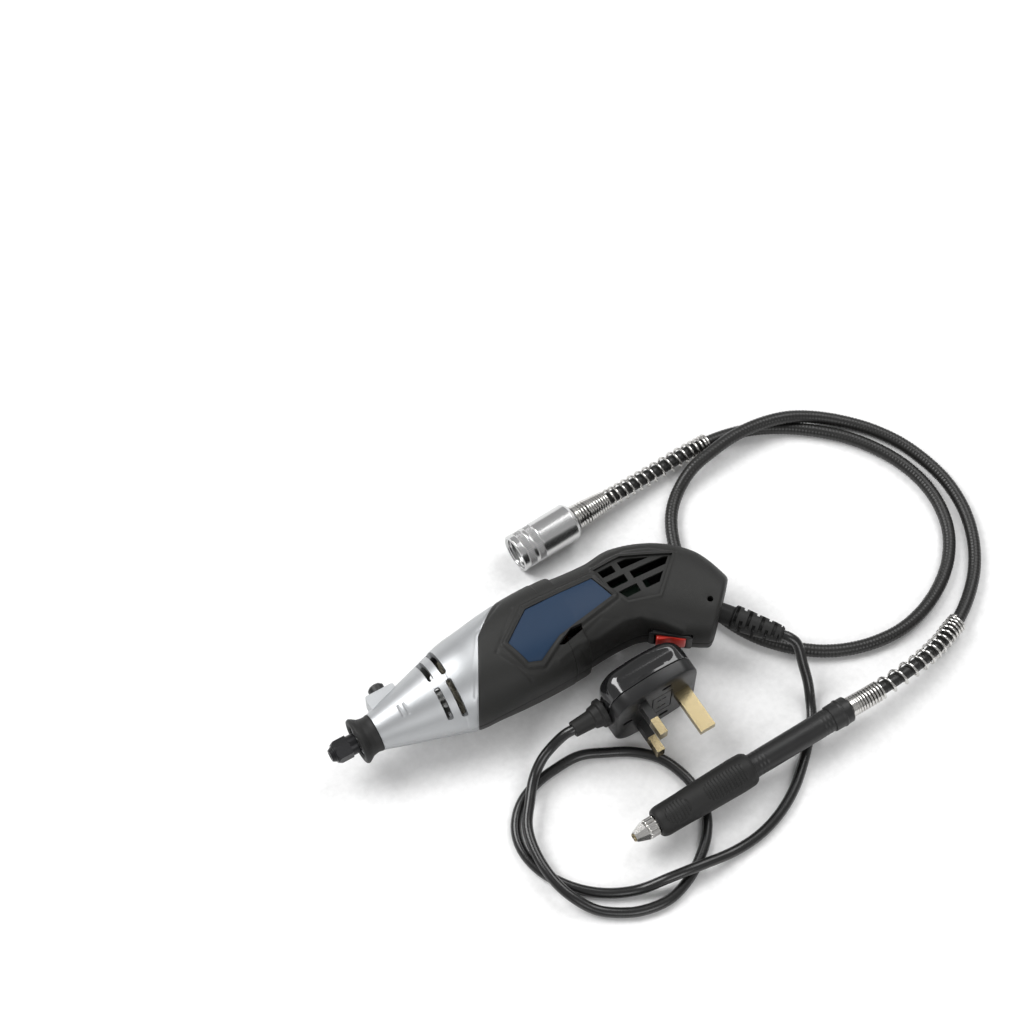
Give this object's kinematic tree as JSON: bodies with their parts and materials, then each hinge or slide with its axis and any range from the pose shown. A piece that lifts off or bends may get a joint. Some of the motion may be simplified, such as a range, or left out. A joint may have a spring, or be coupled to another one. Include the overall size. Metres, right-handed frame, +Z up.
{
  "type": "rotary tool with flexible shaft",
  "caption": "Corded rotary tool lying on its side with a separate flexible drive shaft and slim hand piece, mains lead and three-pin plug.",
  "frame": {"origin": "on the flat of the right housing half that the tool rests on, under the motor, in the spindle's vertical plane", "axes": "+X along the spindle towards the rear, +Y towards the tool's top edge with the lock button, +Z up from the surface"},
  "size_m": [0.3425, 0.201, 0.0473],
  "materials": {
    "black_shell": "fine satin texture",
    "silver_shell": "satin silver lacquer over plastic",
    "label": "dark blue satin film",
    "rubber_black": "matte",
    "black_oxide": "black oxide",
    "steel": "ground",
    "nickel": "bright nickel plate",
    "brass": "machined",
    "copper": "enamelled copper",
    "laminations": "stacked sheet",
    "carbon": "graphite",
    "fan_plastic": "moulded nylon",
    "red_rocker": "translucent red",
    "dark_plastic": "satin",
    "circuit_board": "lacquered",
    "cord_pvc": "soft PVC",
    "plug_gloss": "polished",
    "plug_face": "satin",
    "ceramic": "fuse body",
    "sheath_rubber": "ribbed cover"
  },
  "bodies": {
    "root": {"housing_left": "black_shell", "housing_right": "black_shell", "nose_housing": "silver_shell", "label_plate": "label", "housing_screws": "steel", "front_bearing": "steel", "rear_bearing": "steel", "field_stator": "laminations", "field_coils": "copper", "brush_holders": "brass", "carbon_brushes": "carbon", "switch_body": "dark_plastic", "speed_board": "circuit_board", "strain_relief": "rubber_black", "mains_cord": "cord_pvc", "plug_cord_grip": "rubber_black", "plug_cover": "plug_gloss", "plug_base": "plug_face", "earth_pin": "brass", "line_neutral_pins": "brass", "pin_sleeves": "dark_plastic", "fuse": "ceramic", "coupling_ferrule": "nickel", "coupling_bush": "brass", "coupling_spring": "nickel", "flex_sheath": "sheath_rubber", "flex_core": "steel", "handpiece_spring": "nickel", "handpiece_end_cap": "dark_plastic", "handpiece_tube": "dark_plastic", "handpiece_grip": "dark_plastic", "handpiece_bearings": "steel", "lock_spring": "steel"},
    "rotor": {"spindle": "steel", "lock_collar": "steel", "armature_core": "laminations", "commutator": "copper", "cooling_fan": "fan_plastic", "collet": "steel"},
    "collet_nut": {"collet_nut": "black_oxide"},
    "nose_cap": {"nose_cap": "rubber_black"},
    "lock_button": {"lock_button": "dark_plastic"},
    "switch_rocker": {"switch_rocker": "red_rocker"},
    "speed_dial": {"speed_dial": "dark_plastic"},
    "coupling_nut": {"coupling_nut": "nickel"},
    "drive_tip": {"drive_tip": "nickel"},
    "handpiece_spindle": {"handpiece_spindle": "steel", "chuck_jaws": "brass"},
    "chuck_nut": {"chuck_nut": "nickel"}
  },
  "joints": [
    {"name": "spindle_spin", "type": "hinge", "parent": "root", "child": "rotor", "pos_m": [0, 0, 0.0235], "axis": [1, 0, 0], "continuous": true},
    {"name": "collet_nut_turn", "type": "hinge", "parent": "rotor", "child": "collet_nut", "pos_m": [-0.1, 0, 0.0235], "axis": [1, 0, 0], "continuous": true},
    {"name": "nose_cap_turn", "type": "hinge", "parent": "root", "child": "nose_cap", "pos_m": [-0.08, 0, 0.0235], "axis": [1, 0, 0], "continuous": true},
    {"name": "lock_button_press", "type": "slide", "parent": "root", "child": "lock_button", "axis": [0, -1, 0], "range_m": [0, 0.0032], "stiffness_N_per_m": 400, "springref_m": -0.002, "deforming": ["lock_spring"]},
    {"name": "power_switch", "type": "hinge", "parent": "root", "child": "switch_rocker", "pos_m": [0.06889, -0.02761, 0.0235], "axis": [0, 0, 1], "range_deg": [-14, 0]},
    {"name": "speed_dial_turn", "type": "hinge", "parent": "root", "child": "speed_dial", "pos_m": [0.0934, -0.0028, 0.0235], "axis": [0, 0, 1], "range_deg": [0, 270]},
    {"name": "coupling_nut_turn", "type": "hinge", "parent": "root", "child": "coupling_nut", "pos_m": [0.03, 0.0532, 0.0097], "axis": [0.9976, 0.0698, 0], "continuous": true},
    {"name": "handpiece_spin", "type": "hinge", "parent": "root", "child": "handpiece_spindle", "pos_m": [0.004, -0.102, 0.0142], "axis": [0.9994, 0.0349, 0], "continuous": true},
    {"name": "drive_tip_spin", "type": "hinge", "parent": "root", "child": "drive_tip", "pos_m": [0.03, 0.0532, 0.0097], "axis": [0.9976, 0.0698, 0], "continuous": true},
    {"name": "chuck_nut_turn", "type": "hinge", "parent": "handpiece_spindle", "child": "chuck_nut", "pos_m": [0.004, -0.102, 0.0142], "axis": [0.9994, 0.0349, 0], "continuous": true}
  ],
  "couplings": [
    {"joint": "drive_tip_spin", "follows": "handpiece_spin", "ratio": 1}
  ]
}
